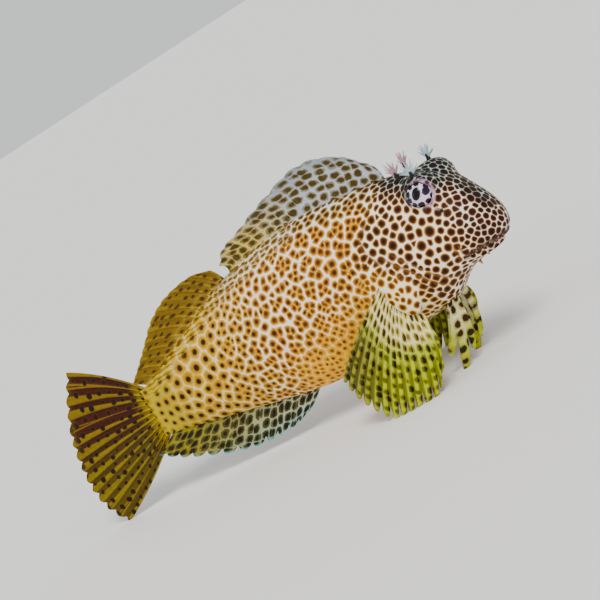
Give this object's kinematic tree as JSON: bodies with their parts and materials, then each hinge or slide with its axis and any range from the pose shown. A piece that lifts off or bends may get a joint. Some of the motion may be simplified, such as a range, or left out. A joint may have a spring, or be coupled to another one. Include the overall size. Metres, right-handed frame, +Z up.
{
  "type": "leopard blenny",
  "caption": "Small spotted reef fish perched on its fins, with a blunt head, branched tufts over the eyes, tall dorsal fins, fan-shaped pectoral fins and a fanned tail.",
  "frame": {"origin": "the floor under the middle of the fish's box, midway between its ends and its sides", "axes": "+X towards the snout, +Y towards the fish's left, +Z up"},
  "size_m": [0.1266, 0.0362, 0.0544],
  "materials": {
    "head": "wet skin with dark brown spots in a white net",
    "trunk": "wet skin with orange-brown spots in a pale net",
    "tail": "wet skin with olive-yellow spots in a pale net",
    "eye": "clear and glossy over a pale iris",
    "blue_fin": "thin fin skin, grey-blue with olive spots",
    "fin": "thin fin skin, yellow-green with dark spots",
    "cirrus": "soft skin"
  },
  "bodies": {
    "root": {"head": "head", "trunk": "trunk", "tail": "tail", "eye_right": "eye", "eye_left": "eye", "dorsal_fin_spiny": "blue_fin", "dorsal_fin_soft": "fin", "anal_fin": "fin", "caudal_fin": "fin", "pectoral_fin_right": "fin", "pectoral_fin_left": "fin", "pelvic_fin_right": "fin", "pelvic_fin_left": "fin", "eye_cirrus_right": "cirrus", "eye_cirrus_left": "cirrus", "nape_cirrus_right": "cirrus", "nape_cirrus_left": "cirrus"}
  },
  "joints": []
}
